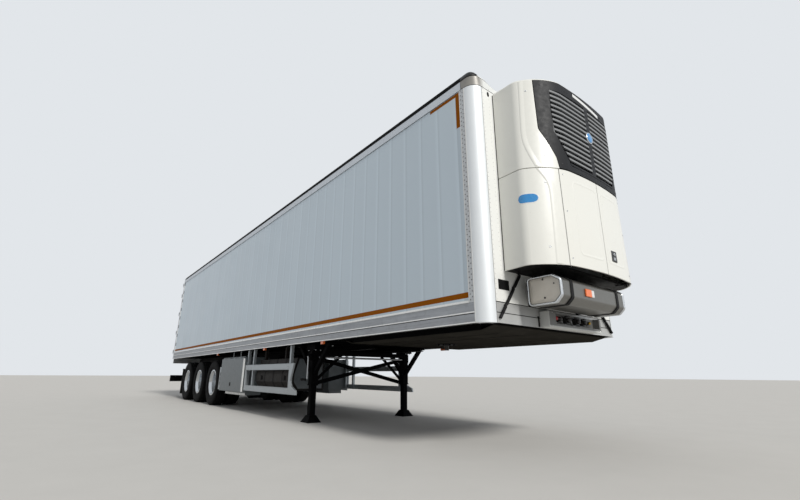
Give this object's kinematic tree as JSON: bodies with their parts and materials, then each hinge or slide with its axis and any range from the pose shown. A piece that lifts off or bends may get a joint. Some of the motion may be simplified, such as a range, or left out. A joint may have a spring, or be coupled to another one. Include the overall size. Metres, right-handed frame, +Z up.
{
  "type": "refrigerated box semi trailer",
  "caption": "Insulated box semi trailer with rear twin-wheel axles, landing legs, a nose-mounted cooling unit, swing rear doors, side lockers and side guards.",
  "frame": {"origin": "on the ground under the middle of the overall length and width", "axes": "+X forward towards the tractor, +Y to the trailer's left, +Z up"},
  "size_m": [14.4341, 2.55, 4],
  "materials": {
    "side_panel": "semi-gloss",
    "front_panel": "semi-gloss",
    "polished_post": "polished",
    "rail_aluminium": "mill finish",
    "black_edging": "semi-gloss",
    "roof_panel": "satin",
    "floor_aluminium": "mill finish",
    "rear_steel": "brushed",
    "chassis_black": "satin",
    "kingpin_steel": "machined",
    "tyre": "matt",
    "polished_alloy": "polished",
    "black_rubber": "matt",
    "zinc": "zinc plated",
    "grey_box": "satin",
    "grey_guard": "satin",
    "brown_box": "satin",
    "red_lens": "gloss",
    "amber_lens": "gloss",
    "unit_white": "semi-gloss",
    "cowl_black": "semi-gloss",
    "unit_dark": "matt",
    "engine_iron": "painted",
    "tank_aluminium": "satin",
    "coupling_dark": "satin"
  },
  "bodies": {
    "trailer": {"air_springs": "black_rubber", "air_tanks": "chassis_black", "axles": "chassis_black", "bottom_rails": "rail_aluminium", "corner_posts": "polished_post", "coupler_plate": "chassis_black", "coupling_box": "grey_box", "cross_members": "chassis_black", "drain_hoses": "black_rubber", "floor": "floor_aluminium", "front_rail": "rail_aluminium", "front_wall": "front_panel", "fuel_tank": "tank_aluminium", "gladhands": "coupling_dark", "inner_legs": "chassis_black", "kingpin": "kingpin_steel", "landing_gear_frame": "chassis_black", "leg_crank": "zinc", "lockers": "grey_box", "main_beams": "chassis_black", "marker_lamps": "amber_lens", "mud_flaps": "black_rubber", "pallet_box": "brown_box", "rear_frame": "rear_steel", "rear_frame_fittings": "rear_steel", "roof": "roof_panel", "roof_edging": "black_edging", "side_guards": "grey_guard", "side_walls": "side_panel", "tail_lamps": "red_lens", "tank_straps": "black_rubber", "top_rail": "rail_aluminium", "trailing_arms": "chassis_black", "underride_bar": "chassis_black", "unit_cowl": "cowl_black", "unit_engine": "engine_iron", "unit_frame": "unit_dark", "unit_hood": "unit_white", "unit_lower_sides": "unit_white"},
    "wheel_set_1_right": {"tyres_1_right": "tyre", "wheels_1_right": "polished_alloy"},
    "wheel_set_1_left": {"tyres_1_left": "tyre", "wheels_1_left": "polished_alloy"},
    "wheel_set_2_right": {"tyres_2_right": "tyre", "wheels_2_right": "polished_alloy"},
    "wheel_set_2_left": {"tyres_2_left": "tyre", "wheels_2_left": "polished_alloy"},
    "wheel_set_3_right": {"tyres_3_right": "tyre", "wheels_3_right": "polished_alloy"},
    "wheel_set_3_left": {"tyres_3_left": "tyre", "wheels_3_left": "polished_alloy"},
    "rear_door_right": {"rear_door_right": "side_panel", "door_gear_right": "rear_steel"},
    "rear_door_left": {"rear_door_left": "side_panel", "door_gear_left": "rear_steel"},
    "locker_door_right": {"locker_door_right": "grey_box"},
    "locker_door_left": {"locker_door_left": "grey_box"},
    "unit_door_right": {"unit_door_right": "unit_white"},
    "unit_door_left": {"unit_door_left": "unit_white"}
  },
  "joints": [
    {"name": "spin_1_right", "type": "hinge", "parent": "trailer", "child": "wheel_set_1_right", "pos_m": [-2.1125, -0.95, 0.525], "axis": [0, 1, 0], "continuous": true},
    {"name": "spin_1_left", "type": "hinge", "parent": "trailer", "child": "wheel_set_1_left", "pos_m": [-2.1125, 0.95, 0.525], "axis": [0, 1, 0], "continuous": true},
    {"name": "spin_2_right", "type": "hinge", "parent": "trailer", "child": "wheel_set_2_right", "pos_m": [-3.4225, -0.95, 0.525], "axis": [0, 1, 0], "continuous": true},
    {"name": "spin_2_left", "type": "hinge", "parent": "trailer", "child": "wheel_set_2_left", "pos_m": [-3.4225, 0.95, 0.525], "axis": [0, 1, 0], "continuous": true},
    {"name": "spin_3_right", "type": "hinge", "parent": "trailer", "child": "wheel_set_3_right", "pos_m": [-4.7325, -0.95, 0.525], "axis": [0, 1, 0], "continuous": true},
    {"name": "spin_3_left", "type": "hinge", "parent": "trailer", "child": "wheel_set_3_left", "pos_m": [-4.7325, 0.95, 0.525], "axis": [0, 1, 0], "continuous": true},
    {"name": "rear_door_right_swing", "type": "hinge", "parent": "trailer", "child": "rear_door_right", "pos_m": [-7.2045, -1.262, 2.6], "axis": [0, 0, 1], "range_deg": [0, 270]},
    {"name": "rear_door_left_swing", "type": "hinge", "parent": "trailer", "child": "rear_door_left", "pos_m": [-7.2045, 1.262, 2.6], "axis": [0, 0, -1], "range_deg": [0, 270]},
    {"name": "locker_door_right_lift", "type": "hinge", "parent": "trailer", "child": "locker_door_right", "pos_m": [-0.5825, -1.252, 1.061], "axis": [-1, 0, 0], "range_deg": [0, 95]},
    {"name": "locker_door_left_lift", "type": "hinge", "parent": "trailer", "child": "locker_door_left", "pos_m": [-0.5825, 1.252, 1.061], "axis": [1, 0, 0], "range_deg": [0, 95]},
    {"name": "unit_door_right_swing", "type": "hinge", "parent": "trailer", "child": "unit_door_right", "pos_m": [7.1434, -0.67, 2.2], "axis": [0, 0, -1], "range_deg": [0, 110]},
    {"name": "unit_door_left_swing", "type": "hinge", "parent": "trailer", "child": "unit_door_left", "pos_m": [7.1434, 0.57, 2.2], "axis": [0, 0, 1], "range_deg": [0, 110]}
  ]
}
